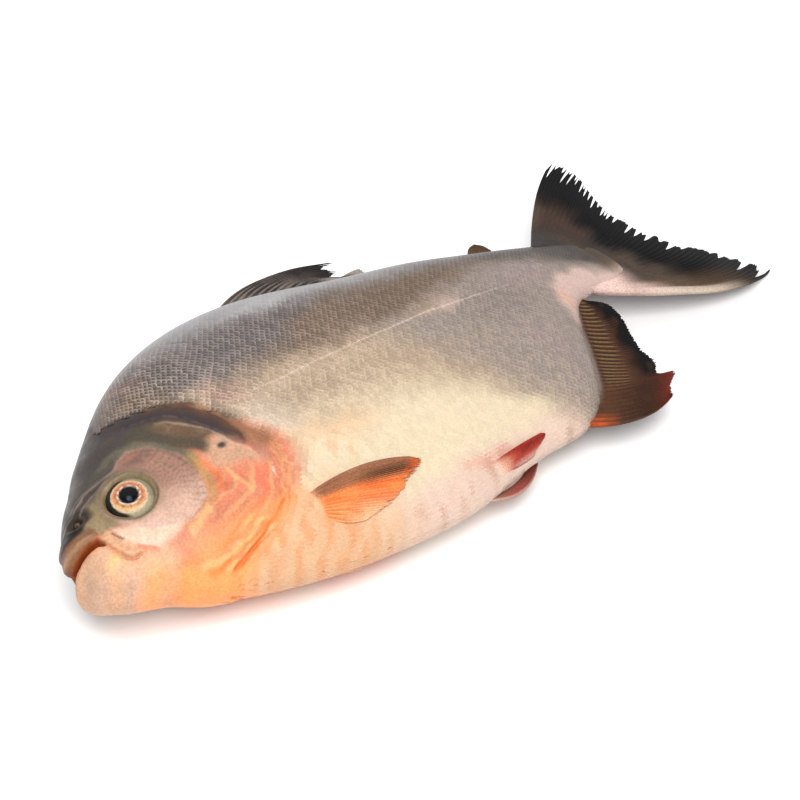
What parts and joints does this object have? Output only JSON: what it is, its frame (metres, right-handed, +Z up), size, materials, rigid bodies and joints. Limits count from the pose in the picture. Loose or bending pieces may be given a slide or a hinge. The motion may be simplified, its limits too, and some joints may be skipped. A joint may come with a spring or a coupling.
{
  "type": "whole raw fish",
  "caption": "Whole raw deep-bodied freshwater fish lying on its flank, with spread tail and anal fins, folded back fin, open mouth and glassy eyes.",
  "frame": {"origin": "middle of the object's box, on the surface it lies on", "axes": "+X from the head towards the tail, +Y towards the back, +Z up, out of the fish's left flank"},
  "size_m": [0.3784, 0.167, 0.0612],
  "materials": {
    "skin": "wet scaled skin, grey back, cream belly, orange gill cover, dark fins",
    "eye": "wet glossy, copper iris with a black pupil"
  },
  "bodies": {
    "root": {"fish": "skin", "eye_left": "eye", "eye_right": "eye"}
  },
  "joints": []
}
